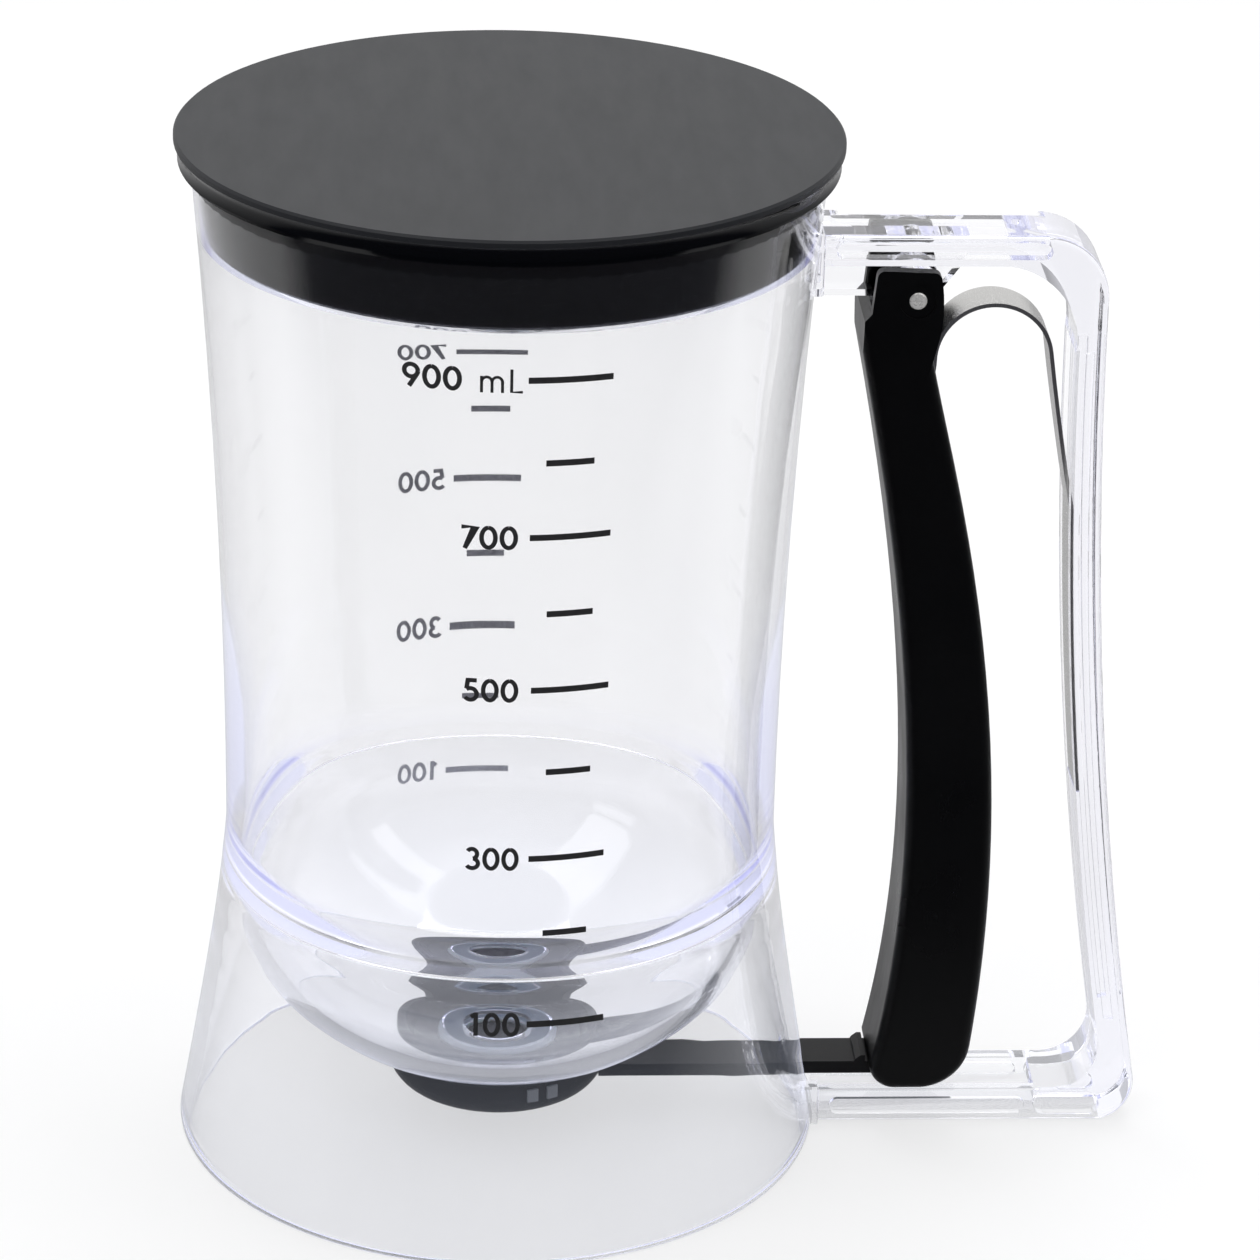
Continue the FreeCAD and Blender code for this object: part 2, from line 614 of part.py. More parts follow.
# Valve arm and cup
cup_profile = section(
    [
        line(V(0, 0, CUP_UNDER_Z), V(CUP_R - 4.2, 0, CUP_UNDER_Z)),
        arc(
            V(CUP_R - 4.2, 0, CUP_UNDER_Z),
            V(CUP_R - 1.2, 0, CUP_UNDER_Z + 1.2),
            V(CUP_R, 0, CUP_UNDER_Z + 4.2),
        ),
        line(V(CUP_R, 0, CUP_UNDER_Z + 4.2), V(CUP_R - 0.2, 0, CUP_RIM_Z - 0.5)),
        line(V(CUP_R - 0.2, 0, CUP_RIM_Z - 0.5), V(CUP_R - 0.7, 0, CUP_RIM_Z)),
        line(V(CUP_R - 0.7, 0, CUP_RIM_Z), V(CUP_R - CUP_WALL, 0, CUP_RIM_Z)),
        line(V(CUP_R - CUP_WALL, 0, CUP_RIM_Z), V(CUP_R - CUP_WALL - 1.4, 0, SEAL_UNDER_Z + 1.2)),
        line(V(CUP_R - CUP_WALL - 1.4, 0, SEAL_UNDER_Z + 1.2), V(SEAL_OUTER_R, 0, SEAL_UNDER_Z + 1.2)),
        line(V(SEAL_OUTER_R, 0, SEAL_UNDER_Z + 1.2), V(SEAL_OUTER_R, 0, SEAL_UNDER_Z)),
        line(V(SEAL_OUTER_R, 0, SEAL_UNDER_Z), V(SEAL_INNER_R, 0, SEAL_UNDER_Z)),
        line(V(SEAL_INNER_R, 0, SEAL_UNDER_Z), V(SEAL_INNER_R - 0.4, 0, BOSS_Z)),
        line(V(SEAL_INNER_R - 0.4, 0, BOSS_Z), V(0, 0, BOSS_Z)),
        line(V(0, 0, BOSS_Z), V(0, 0, CUP_UNDER_Z)),
    ]
)
cup = turned(cup_profile)
arm_bar = block(CUP_R - 1.2, ARM_TONGUE_X, -ARM_HALF, ARM_HALF, ARM_UNDER_Z, ARM_TOP_Z)
arm_root = slab(
    polygon(
        [
            V(CUP_R - 1.2, 0, ARM_TOP_Z - 0.2),
            V(CUP_R + 2.6, 0, ARM_TOP_Z - 0.2),
            V(CUP_R - 0.2, 0, CUP_RIM_Z - 0.6),
            V(CUP_R - 1.2, 0, CUP_RIM_Z - 0.6),
        ]
    ),
    1.2,
)
# Stop flange against the lever, with a snap bead on top
stop_flange = slab(
    polygon(
        [
            V(FOOT_X - 2.6, 0, ARM_TOP_Z - 0.2),
            V(FOOT_X - 0.5, 0, ARM_TOP_Z - 0.2),
            V(FOOT_X - 0.5, 0, ARM_TOP_Z + 1.2),
            V(FOOT_X - 1.3, 0, ARM_TOP_Z + 1.2),
            V(FOOT_X - 2.2, 0, ARM_TOP_Z + 0.5),
        ]
    ),
    ARM_HALF,
)
valve = cup.fuse([arm_bar, arm_root, stop_flange])
# Two small moulded tabs on the cup, toward the front and the handle
for tab_angle in (-73.0, -62.0):
    tab = block(CUP_R - 0.6, CUP_R + 0.5, -1.0, 1.0, CUP_RIM_Z - 3.4, CUP_RIM_Z - 1.0)
    tab.rotate(V(0, 0, 0), V(0, 0, 1), tab_angle)
    valve = valve.fuse(tab)
valve_arm = one_solid(valve)

# Silicone ring that closes the outlet
seal_profile = polygon(
    [
        V(SEAL_INNER_R, 0, SEAL_UNDER_Z),
        V(SEAL_OUTER_R, 0, SEAL_UNDER_Z),
        V(SEAL_OUTER_R, 0, SEAT_Z - 1.2),
        V(SEAL_OUTER_R - 1.0, 0, SEAT_Z),
        V(SEAL_INNER_R + 0.6, 0, SEAT_Z),
        V(SEAL_INNER_R, 0, SEAT_Z - 0.6),
    ]
)
valve_seal = turned(seal_profile)

pieces = {
    "tank_wall": tank_wall,
    "hopper_bowl": hopper_bowl,
    "base_skirt": base_skirt,
    "handle_frame": handle_frame,
    "lid": lid,
    "trigger_lever": trigger_lever,
    "pivot_pin": pivot_pin,
    "return_spring": return_spring,
    "valve_arm": valve_arm,
    "valve_seal": valve_seal,
}

os.makedirs("parts", exist_ok=True)
for name, shape in pieces.items():
    shape.exportStep("parts/" + name + ".step")
    box = shape.BoundBox
    low = (round(box.XMin, 2), round(box.YMin, 2), round(box.ZMin, 2))
    high = (round(box.XMax, 2), round(box.YMax, 2), round(box.ZMax, 2))
    print(name, shape.ShapeType, len(shape.Solids), shape.isValid(), low, high)
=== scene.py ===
import math

import bmesh
import bpy
from mathutils import Matrix, Vector
from mathutils.bvhtree import BVHTree


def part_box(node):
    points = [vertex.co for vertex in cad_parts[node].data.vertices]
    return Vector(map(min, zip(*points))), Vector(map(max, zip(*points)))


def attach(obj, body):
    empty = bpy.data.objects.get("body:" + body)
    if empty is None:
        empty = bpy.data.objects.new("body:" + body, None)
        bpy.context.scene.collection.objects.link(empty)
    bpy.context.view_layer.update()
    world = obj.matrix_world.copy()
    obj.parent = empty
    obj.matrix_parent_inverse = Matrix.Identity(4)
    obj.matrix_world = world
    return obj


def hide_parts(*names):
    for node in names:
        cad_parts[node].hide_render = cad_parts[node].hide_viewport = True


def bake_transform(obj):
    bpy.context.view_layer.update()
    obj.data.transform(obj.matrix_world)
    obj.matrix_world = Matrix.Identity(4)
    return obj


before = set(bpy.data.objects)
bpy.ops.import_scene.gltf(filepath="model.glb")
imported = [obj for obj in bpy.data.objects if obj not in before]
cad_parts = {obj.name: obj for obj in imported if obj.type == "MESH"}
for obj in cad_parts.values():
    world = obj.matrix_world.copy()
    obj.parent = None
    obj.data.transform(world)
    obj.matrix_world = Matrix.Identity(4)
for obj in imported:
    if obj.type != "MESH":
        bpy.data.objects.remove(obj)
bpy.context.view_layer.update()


MM = 0.001


# Materials

class NodeTree:
    """A node tree with a short way to add and join nodes."""

    def __init__(self, owner, output_kind):
        owner.use_nodes = True
        self.tree = owner.node_tree
        self.tree.nodes.clear()
        self.output = self.tree.nodes.new("ShaderNode" + output_kind)

    def add(self, kind, inputs=None, **settings):
        """A node with its settings, and its inputs given as numbers or as sockets to join."""
        node = self.tree.nodes.new("ShaderNode" + kind)
        for key, value in settings.items():
            setattr(node, key, value)
        for key, value in (inputs or {}).items():
            socket = node.inputs[key]
            if isinstance(value, bpy.types.NodeSocket):
                self.tree.links.new(value, socket)
            else:
                socket.default_value = value
        return node

    def surface(self, socket):
        self.tree.links.new(socket, self.output.inputs["Surface"])

    def math(self, kind, first, second):
        return self.add("Math", {0: first, 1: second}, operation=kind).outputs[0]

    def between(self, share, first, second):
        """The colour that is first at a share of nought and second at a share of one."""
        inputs = {0: share, 6: first, 7: second}
        return self.add("Mix", inputs, data_type="RGBA").outputs[2]

    def range(self, value, start, end, low, high, **settings):
        """value in the span from start to end, put on the span from low to high."""
        inputs = {"Value": value, "From Min": start, "From Max": end, "To Min": low, "To Max": high}
        return self.add("MapRange", inputs, **settings).outputs["Result"]

    def turned_once(self, path):
        """One for the rays that have met just one glossy surface, else nought."""
        inputs = {0: path["Glossy Depth"], 1: 1.0, 2: 0.1}
        return self.add("Math", inputs, operation="COMPARE").outputs[0]


class Shader(NodeTree):
    """A node material."""

    def __init__(self, name):
        self.material = bpy.data.materials.new(name)
        super().__init__(self.material, "OutputMaterial")

    def position(self):
        """The sockets of the place on the object."""
        return self.add("SeparateXYZ", {0: self.add("TexCoord").outputs["Object"]}).outputs

    def distance_from_axis(self, at):
        """Distance of a place from the upright axis of the tank."""
        level = self.add("CombineXYZ", {0: at["X"], 1: at["Y"]}).outputs[0]
        return self.add("VectorMath", {0: level}, operation="LENGTH").outputs["Value"]

    def place(self, scale=(1, 1, 1)):
        """Object coordinates, stretched by scale."""
        source = self.add("TexCoord").outputs["Object"]
        return self.add("Mapping", {"Vector": source, "Scale": scale}).outputs["Vector"]

    def noise(self, scale, detail=4.0, stretch=(1, 1, 1), rough=0.6):
        inputs = {"Vector": self.place(stretch), "Scale": scale,
                  "Detail": detail, "Roughness": rough}
        return self.add("TexNoise", inputs).outputs["Fac"]

    def spread(self, value, low, high, at=(0.3, 0.7)):
        """value in the span at, put on the span from low to high."""
        return self.range(value, at[0], at[1], low, high)

    def tint(self, value, first, second):
        """A colour between first and second."""
        ramp = self.add("ValToRGB", {"Fac": value})
        ramp.color_ramp.elements[0].position = 0.3
        ramp.color_ramp.elements[0].color = (*first, 1)
        ramp.color_ramp.elements[1].position = 0.7
        ramp.color_ramp.elements[1].color = (*second, 1)
        return ramp.outputs["Color"]

    def bump(self, height, strength, distance):
        inputs = {"Height": height, "Strength": strength, "Distance": distance}
        return self.add("Bump", inputs).outputs["Normal"]


# Rays that have met more surfaces than DEEP count as held inside the clear walls, which show a
# painted pale edge glow for them.
# The painted glow of the bowl and the skirt fades out over a span of distances from the axis and
# over a span of heights, in metres.
DEEP = 9
PAINTED_EDGE_GLOW = (0.20, 0.205, 0.225, 1)
BOWL_PAINTED_GLOW = (0.043, 0.046, 0.055, 1)
SKIRT_PAINTED_GLOW = (0.023, 0.025, 0.030, 1)
BLACK = (0, 0, 0, 1)
GLOW_REACH = (0.044, 0.0465)
GLOW_HEIGHT = (0.022, 0.045)
CLEAR_DEPTH = {"Color": (0.66, 0.655, 0.84, 1), "Density": 15.0}


def clear_plastic(name, roughness=0.012):
    """Clear moulded plastic with a faint violet cast in its depth.

    The gloss carries fine handling marks, and the surface a slow waviness from the mould.
    Rays that run on and on inside the walls are shown as a painted pale glow of their edges.
    The skirt has a faint painted glow all over, and the floor of the bowl a little more.
    """
    s = Shader(name)
    wave = s.noise(38.0, 2.0, (1, 1, 0.35))
    scuff = s.noise(900.0, 5.0, (1, 1, 0.2))
    rough = s.spread(scuff, roughness, roughness + 0.045, (0.45, 0.85))
    normal = s.bump(wave, 0.10, 0.0005)
    colour = s.tint(wave, (0.976, 0.978, 0.983), (0.990, 0.991, 0.995))
    # Painted light: rays held deep inside the walls make them glow pale, as a painted edge glow.
    deep = s.math("GREATER_THAN", s.add("LightPath").outputs["Ray Depth"], DEEP)
    at = s.position()
    # Painted glow: the bowl's floor and the skirt give off a faint light of their own, fading out by
    # distance from the axis and by height.
    within = s.range(s.distance_from_axis(at), *GLOW_REACH, 1.0, 0.0)
    low = s.range(at["Z"], *GLOW_HEIGHT, 1.0, 0.0)
    painted_glow = s.between(low, BLACK, SKIRT_PAINTED_GLOW)
    painted_glow = s.between(s.math("MULTIPLY", within, low), painted_glow, BOWL_PAINTED_GLOW)
    shader = s.add("BsdfPrincipled", {
        "Base Color": colour, "Roughness": rough, "Normal": normal,
        "Transmission Weight": 1.0, "IOR": 1.53,
        "Emission Color": s.between(deep, painted_glow, PAINTED_EDGE_GLOW), "Emission Strength": 1.0})
    depth = s.add("VolumeAbsorption", CLEAR_DEPTH)
    s.surface(shader.outputs["BSDF"])
    s.tree.links.new(depth.outputs["Volume"], s.output.inputs["Volume"])
    return s.material


def dark_plastic(name, first, second, low, high, grain, strength, specular):
    """Moulded plastic: a fine texture from the mould, slow changes of gloss, rubbed places."""
    s = Shader(name)
    fine = s.noise(grain, 3.0)
    slow = s.noise(32.0, 4.0)
    rub = s.noise(160.0, 6.0, (1, 1, 0.3))
    colour = s.tint(slow, first, second)
    rough = s.spread(s.math("MULTIPLY", slow, rub), low, high, (0.12, 0.42))
    normal = s.bump(fine, strength, 0.00005)
    shader = s.add("BsdfPrincipled", {
        "Base Color": colour, "Roughness": rough, "Normal": normal,
        "Specular IOR Level": specular})
    s.surface(shader.outputs["BSDF"])
    return s.material


# The painted highlight goes on the tabs, which are what stands out of the cup's round on its front
# side, in metres.
TAB_REACH = 0.01956
TAB_FRONT = -0.012
TAB_HIGHLIGHT = (0.17, 0.18, 0.20, 1)


def arm_plastic(name):
    """The arm's dark plastic, with a painted pale highlight on the front of the two small tabs of
    its cup.
    """
    s = Shader(name)
    fine = s.noise(1500.0, 3.0)
    slow = s.noise(32.0, 4.0)
    at = s.position()
    outside = s.math("GREATER_THAN", s.distance_from_axis(at), TAB_REACH)
    ahead = s.math("LESS_THAN", at["Y"], TAB_FRONT)
    dark = s.tint(slow, (0.006, 0.006, 0.007), (0.009, 0.009, 0.0105))
    # Painted highlight: the front of the two tabs is coloured pale.
    colour = s.between(s.math("MULTIPLY", outside, ahead), dark, TAB_HIGHLIGHT)
    rough = s.spread(slow, 0.28, 0.40, (0.12, 0.42))
    normal = s.bump(fine, 0.10, 0.00005)
    shader = s.add("BsdfPrincipled", {
        "Base Color": colour, "Roughness": rough, "Normal": normal,
        "Specular IOR Level": 0.13})
    s.surface(shader.outputs["BSDF"])
    return s.material


# The polish of the plug turns into the disc's matte face over this span of heights.
PLUG_TO_DISC = (0.1843, 0.1849)
PLUG_ROUGH, DISC_ROUGH = 0.10, 0.40


def lid_plastic(name):
    """The lid: a fine matte disc over a polished plug ring."""
    s = Shader(name)
    fine = s.noise(1700.0, 3.0)
    slow = s.noise(26.0, 3.0)
    rub = s.noise(210.0, 6.0, (1, 0.25, 1))
    matte = s.range(s.position()["Z"], *PLUG_TO_DISC, 0.0, 1.0)
    marks = s.spread(rub, 0.0, 0.05, (0.35, 0.75))
    polished, frosted = s.math("ADD", marks, PLUG_ROUGH), s.math("ADD", marks, DISC_ROUGH)
    rough = s.range(matte, 0.0, 1.0, polished, frosted)
    plug = s.tint(slow, (0.0006, 0.0008, 0.0014), (0.0010, 0.0013, 0.0020))
    disc = s.tint(slow, (0.0105, 0.0115, 0.0140), (0.0120, 0.0130, 0.0160))
    normal = s.bump(fine, 0.10, 0.00004)
    shader = s.add("BsdfPrincipled", {
        "Base Color": s.between(matte, plug, disc), "Roughness": rough, "Normal": normal,
        "Specular IOR Level": 0.19})
    s.surface(shader.outputs["BSDF"])
    return s.material


def steel(name, stretch, base=0.50, metal=1.0):
    """Bright steel with fine drawn lines along the long way of the piece."""
    s = Shader(name)
    lines = s.noise(700.0, 6.0, stretch, 0.75)
    slow = s.noise(45.0, 3.0)
    colour = s.tint(slow, (base, base * 0.99, base * 0.965),
                    (base * 1.15, base * 1.14, base * 1.12))
    rough = s.spread(lines, 0.20, 0.36)
    normal = s.bump(lines, 0.14, 0.00004)
    shader = s.add("BsdfPrincipled", {
        "Base Color": colour, "Roughness": rough, "Normal": normal, "Metallic": metal})
    s.surface(shader.outputs["BSDF"])
    return s.material


def silicone(name):
    """Pale, slightly milky silicone with a dusty surface."""
    s = Shader(name)
    dust = s.noise(420.0, 5.0)
    slow = s.noise(60.0, 3.0)
    colour = s.tint(slow, (0.50, 0.56, 0.64), (0.58, 0.64, 0.71))
    rough = s.spread(dust, 0.38, 0.60)
    normal = s.bump(dust, 0.10, 0.00006)
    shader = s.add("BsdfPrincipled", {
        "Base Color": colour, "Roughness": rough, "Normal": normal,
        "Subsurface Weight": 0.15, "Subsurface Scale": 0.002})
    s.surface(shader.outputs["BSDF"])
    return s.material


def printing_ink(name, level):
    """Screen-printed ink: thin, dark, a little uneven."""
    s = Shader(name)
    patch = s.noise(1500.0, 3.0)
    colour = s.tint(patch, (level, level, level * 1.1),
                    (level * 1.6, level * 1.6, level * 1.8))
    rough = s.spread(patch, 0.45, 0.65)
    shader = s.add("BsdfPrincipled", {"Base Color": colour, "Roughness": rough})
    s.surface(shader.outputs["BSDF"])
    return s.material


CLEAR = clear_plastic("clear_plastic_wall")
CLEAR_THICK = clear_plastic("clear_plastic_thick", 0.016)
LID = lid_plastic("lid_plastic")
SATIN = dark_plastic("lever_plastic", (0.0012, 0.0013, 0.0016), (0.002, 0.0021, 0.0026),
                     low=0.26, high=0.38, grain=1500.0, strength=0.12, specular=0.17)
ARM = arm_plastic("arm_plastic")
SPRING = steel("spring_steel", (60, 1, 0.02))
PIN = steel("pin_metal", (1, 0.05, 1), base=0.62, metal=0.45)
SEAL = silicone("silicone_seal")
INK = printing_ink("printed_ink", 0.012)
INK_INSIDE = printing_ink("printed_ink_inside", 0.27)

finishes = {
    "tank_wall": CLEAR,
    "hopper_bowl": CLEAR,
    "base_skirt": CLEAR,
    "handle_frame": CLEAR_THICK,
    "lid": LID,
    "trigger_lever": SATIN,
    "valve_arm": ARM,
    "pivot_pin": PIN,
    "return_spring": SPRING,
    "valve_seal": SEAL,
}
for node, material in finishes.items():
    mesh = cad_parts[node].data
    mesh.materials.clear()
    mesh.materials.append(material)


# The clear body and the other drawn pieces

def surface_of(node):
    """A tree for casting rays at a node's mesh."""
    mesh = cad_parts[node].data
    points = [v.co.copy() for v in mesh.vertices]
    return BVHTree.FromPolygons(points, [tuple(p.vertices) for p in mesh.polygons])


WALLS = [surface_of(node) for node in ("tank_wall", "hopper_bowl", "base_skirt")]
TANK, SKIRT = WALLS[0], WALLS[2]
AWAY = Vector((-1, 0, 0))
WELL_OUTSIDE = 0.08


def outer_radius(height):
    """Radius of the outside of the clear body, on the side away from the handle."""
    start = Vector((0, 0, height)) + AWAY * WELL_OUTSIDE
    hits = [wall.ray_cast(start, -AWAY) for wall in WALLS]
    return max(-h[0].x for h in hits if h[0] is not None)


def inner_radius(tree, height):
    """Radius of the inside of one of the walls at a height."""
    hit = tree.ray_cast(Vector((0, 0, height)), AWAY)[0]
    return -hit.x


def steps(start, end, count):
    """Evenly spaced numbers from start to end."""
    return [start + (end - start) * i / count for i in range(count + 1)]


def curve_points(poles, count):
    """Points of a cubic curve through its poles, given as (radius, height)."""
    out = []
    for i in range(count + 1):
        t = i / count
        shares = ((1 - t) ** 3, 3 * t * (1 - t) ** 2, 3 * t * t * (1 - t), t ** 3)
        out.append((sum(k * p[0] for k, p in zip(shares, poles)),
                    sum(k * p[1] for k, p in zip(shares, poles))))
    return out


def oval(centre, across, up, start, end, count=22):
    """Points of a part of an oval, with angles in degrees."""
    out = []
    for angle in steps(math.radians(start), math.radians(end), count):
        out.append((centre[0] + across * math.cos(angle), centre[1] + up * math.sin(angle)))
    return out


def bend(centre, radius, start, end, count=6):
    """Points of a round corner, with angles in degrees."""
    return oval(centre, radius, radius, start, end, count)


# Heights and radii of the drawn body. Its outside is the solids' outside.
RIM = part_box("tank_wall")[1].z
RIM_ROUND = 0.28 * MM
RIM_LINE = RIM - RIM_ROUND * 1.1
FOOT_ROUND = 0.5 * MM
FOOT_LINE = FOOT_ROUND * 1.6
BOWL_TOP = 45.0 * MM
BOWL_IN, BOWL_IN_DEPTH = 43.2 * MM, 29.4 * MM
BOWL_OUT, BOWL_OUT_DEPTH = 45.8 * MM, 32.0 * MM
OUTLET, OUTLET_ROUND = 6.3 * MM, 0.3 * MM
SEAT, SEAT_LOW = 10.6 * MM, 12.8 * MM
CROTCH_TOP = 50.6 * MM

# The wall's thickness round the lid's plug and under it.
RIM_WALL = 0.7 * MM
THIN_WALL = 1.05 * MM
LEDGE_WALL, LEDGE_FADE = 1.3 * MM, 10 * MM
BLEND_TOP, BLEND_LONG = 60.0 * MM, 45 * MM
PLUG_FIT = 0.1 * MM
PLUG_LONGER = 1.20
LID_LEDGE = RIM - (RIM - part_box("lid")[0].z) * PLUG_LONGER - 0.2 * MM


def ellipse_points(radius, depth, start_radius, end_radius, count):
    """Points of the bowl's curve between two of its radii."""
    start = math.acos(min(1.0, start_radius / radius))
    end = math.acos(min(1.0, end_radius / radius))
    return [(radius * math.cos(a), BOWL_TOP - depth * math.sin(a))
            for a in steps(start, end, count)]


def ease(t):
    """Nought to one with a soft start and end."""
    t = min(1.0, max(0.0, t))
    return t * t * (3 - 2 * t)


def bore(height):
    """Inside radius of the tank.

    The wall is thin round the lid's plug, has a ledge under it, and thickens to the waist.
    """
    if height > LID_LEDGE:
        return outer_radius(height) - RIM_WALL
    ledge = LEDGE_WALL * math.exp((height - LID_LEDGE) / LEDGE_FADE)
    thin = outer_radius(height) - THIN_WALL - ledge
    share = ease((height - BLEND_TOP) / BLEND_LONG)
    return thin * share + inner_radius(TANK, height) * (1 - share)


def clear_section():
    """The section of the clear body as one loop: up the outside, down the inside, round the bowl."""
    foot_r = outer_radius(FOOT_ROUND * 1.4)
    loop = bend((foot_r - FOOT_ROUND, FOOT_ROUND), FOOT_ROUND, -90, 0)
    loop += [(outer_radius(h), h) for h in steps(FOOT_LINE, RIM_LINE, 120)]
    rim_r, rim_in = outer_radius(RIM_LINE), bore(RIM_LINE)
    loop += bend((rim_r - RIM_ROUND, RIM - RIM_ROUND), RIM_ROUND, 0, 90)
    loop += bend((rim_in + RIM_ROUND, RIM - RIM_ROUND), RIM_ROUND, 90, 180)
    loop += [(bore(h), h) for h in steps(RIM_LINE, LID_LEDGE + 0.001 * MM, 10)]
    loop += [(bore(h), h) for h in steps(LID_LEDGE, BLEND_TOP, 110)]
    top_in = inner_radius(TANK, BLEND_TOP)
    loop += curve_points([(top_in, BLEND_TOP), (top_in, BLEND_TOP - 5.5 * MM),
                          (BOWL_IN, BOWL_TOP + 5.0 * MM), (BOWL_IN, BOWL_TOP)], 16)[1:]
    loop += ellipse_points(BOWL_IN, BOWL_IN_DEPTH, BOWL_IN, OUTLET + 0.6 * MM, 44)[1:]
    floor = loop[-1][1]
    loop += [(OUTLET, floor - 0.5 * MM), (OUTLET, SEAT_LOW + OUTLET_ROUND),
             (OUTLET + OUTLET_ROUND, SEAT_LOW), (SEAT - OUTLET_ROUND, SEAT_LOW),
             (SEAT, SEAT_LOW + OUTLET_ROUND)]
    loop += ellipse_points(BOWL_OUT, BOWL_OUT_DEPTH, SEAT, BOWL_OUT, 44)
    half = (inner_radius(SKIRT, CROTCH_TOP - 1.4 * MM) - BOWL_OUT) * 0.5
    loop += bend((BOWL_OUT + half, CROTCH_TOP - half), half, 180, 0, 8)
    loop += [(inner_radius(SKIRT, h), h) for h in steps(CROTCH_TOP - 1.6 * MM, FOOT_LINE, 50)]
    foot_in = inner_radius(SKIRT, FOOT_LINE)
    loop += bend((foot_in + FOOT_ROUND, FOOT_ROUND), FOOT_ROUND, 180, 270)
    return loop


def new_piece(name, mesh):
    """An object in the scene with a mesh."""
    piece = bpy.data.objects.new(name, mesh)
    bpy.context.scene.collection.objects.link(piece)
    return piece


def mesh_of(work, name):
    """The mesh of a bmesh, which is freed."""
    mesh = bpy.data.meshes.new(name)
    work.to_mesh(mesh)
    work.free()
    return mesh


def lathe(name, loop, turns):
    """A closed loop of (radius, height) turned once round the tank's axis."""
    work = bmesh.new()
    rings = []
    for i in range(turns):
        a = 2 * math.pi * (i + 0.5) / turns
        rings.append([work.verts.new((r * math.cos(a), r * math.sin(a), h)) for r, h in loop])
    for here, there in zip(rings, rings[1:] + rings[:1]):
        for j in range(len(loop)):
            k = (j + 1) % len(loop)
            work.faces.new((here[j], there[j], there[k], here[k]))
    bmesh.ops.recalc_face_normals(work, faces=work.faces)
    return new_piece(name, mesh_of(work, name))


def cut_box(piece, low, high):
    """Take a box out of a piece."""
    work = bmesh.new()
    bmesh.ops.create_cube(work, size=1.0)
    middle = [(a + b) / 2 for a, b in zip(low, high)]
    for v in work.verts:
        v.co = Vector([m + c * (b - a) for m, c, a, b in zip(middle, v.co, low, high)])
    cutter = new_piece("cutter", mesh_of(work, "cutter"))
    modifier = piece.modifiers.new("window", "BOOLEAN")
    modifier.operation = "DIFFERENCE"
    modifier.solver = "EXACT"
    modifier.object = cutter
    settle(piece)
    bpy.data.objects.remove(cutter)


def settle(piece):
    """Give the piece the mesh that its modifiers make."""
    graph = bpy.context.evaluated_depsgraph_get()
    done = bpy.data.meshes.new_from_object(piece.evaluated_get(graph))
    piece.modifiers.clear()
    piece.data = done


def smooth(piece, degrees):
    """Smooth shading, with edges sharper than an angle kept crisp."""
    for polygon in piece.data.polygons:
        polygon.use_smooth = True
    piece.data.set_sharp_from_angle(angle=math.radians(degrees))


ARM_WINDOW = ((0.045, -0.0048, 0.0034), (0.070, 0.0048, 0.0124))
clear_body = lathe("clear_body", clear_section(), 180)
cut_box(clear_body, *ARM_WINDOW)
smooth(clear_body, 40)
clear_body.data.materials.clear()
clear_body.data.materials.append(CLEAR)
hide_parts("tank_wall", "hopper_bowl", "base_skirt")
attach(clear_body, "housing")


def copy_of(node, name):
    """A copy of a node's mesh, to be shown in its place."""
    return new_piece(name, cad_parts[node].data.copy())


def push_out(vertex, reach, more):
    """Move a vertex away from the tank's axis."""
    vertex.co.x *= (reach + more) / reach
    vertex.co.y *= (reach + more) / reach


# The handle's pads stand a hair off the body, as two faces in one place spoil the clear look.
PAD_GAP = 0.04 * MM
PAD_REACH = 59.5 * MM
PAD_NEAR = 0.12 * MM
handle_clear = copy_of("handle_frame", "handle_clear")
for vertex in handle_clear.data.vertices:
    reach = math.hypot(vertex.co.x, vertex.co.y)
    level = min(max(vertex.co.z, 0.8 * MM), RIM - 1.0 * MM)
    if reach < PAD_REACH and reach < outer_radius(level) + PAD_NEAR:
        push_out(vertex, reach, PAD_GAP)
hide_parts("handle_frame")
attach(handle_clear, "housing")


# The lid's plug ring follows the flare of the wall it sits in.
PLUG_RING = 3 * MM
lid_piece = copy_of("lid", "lid_disc_and_plug")
plug_r = max(math.hypot(v.co.x, v.co.y) for v in lid_piece.data.vertices
             if v.co.z < RIM - 3 * MM)
for vertex in lid_piece.data.vertices:
    reach = math.hypot(vertex.co.x, vertex.co.y)
    if vertex.co.z < RIM + 0.01 * MM and reach > plug_r - PLUG_RING:
        vertex.co.z = RIM - (RIM - vertex.co.z) * PLUG_LONGER
        seat_r = bore(min(vertex.co.z, RIM_LINE)) - PLUG_FIT
        push_out(vertex, reach, seat_r - plug_r)
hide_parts("lid")
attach(lid_piece, "lid")

# The spring's strip, with its leg in the outer bar and its leg in the lever, as a copy of the
# spring's mesh in place.
spring_strip = copy_of("return_spring", "spring_strip")
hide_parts("return_spring")
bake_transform(spring_strip)


# Printed scales

INK_LIFT = 0.07 * MM
INK_DEPTH = 0.03 * MM
WRAP_RADIUS = 50.0 * MM


def on_wall(angle, height, lift):
    """The point a lift outside the clear body, at an angle round from the front."""
    radius = outer_radius(height) + lift
    return Vector((math.sin(angle) * radius, -math.cos(angle) * radius, height))


def print_on(name, flat, rear):
    """Lay a flat bmesh, x along the wall and y up, on the front or the rear.

    The ink is outside, and its paler back shows through the wall.
    """
    turn = math.pi if rear else 0.0
    places = [(v.co.x / WRAP_RADIUS + turn, v.co.y) for v in flat.verts]
    layers = (("", INK_LIFT, INK), ("_back", INK_LIFT - INK_DEPTH, INK_INSIDE))
    for label, lift, material in layers:
        for vertex, (angle, height) in zip(flat.verts, places):
            vertex.co = on_wall(angle, height, lift)
        mesh = bpy.data.meshes.new(name + label)
        flat.to_mesh(mesh)
        piece = new_piece(name + label, mesh)
        mesh.materials.append(material)
        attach(piece, "housing")
    flat.free()


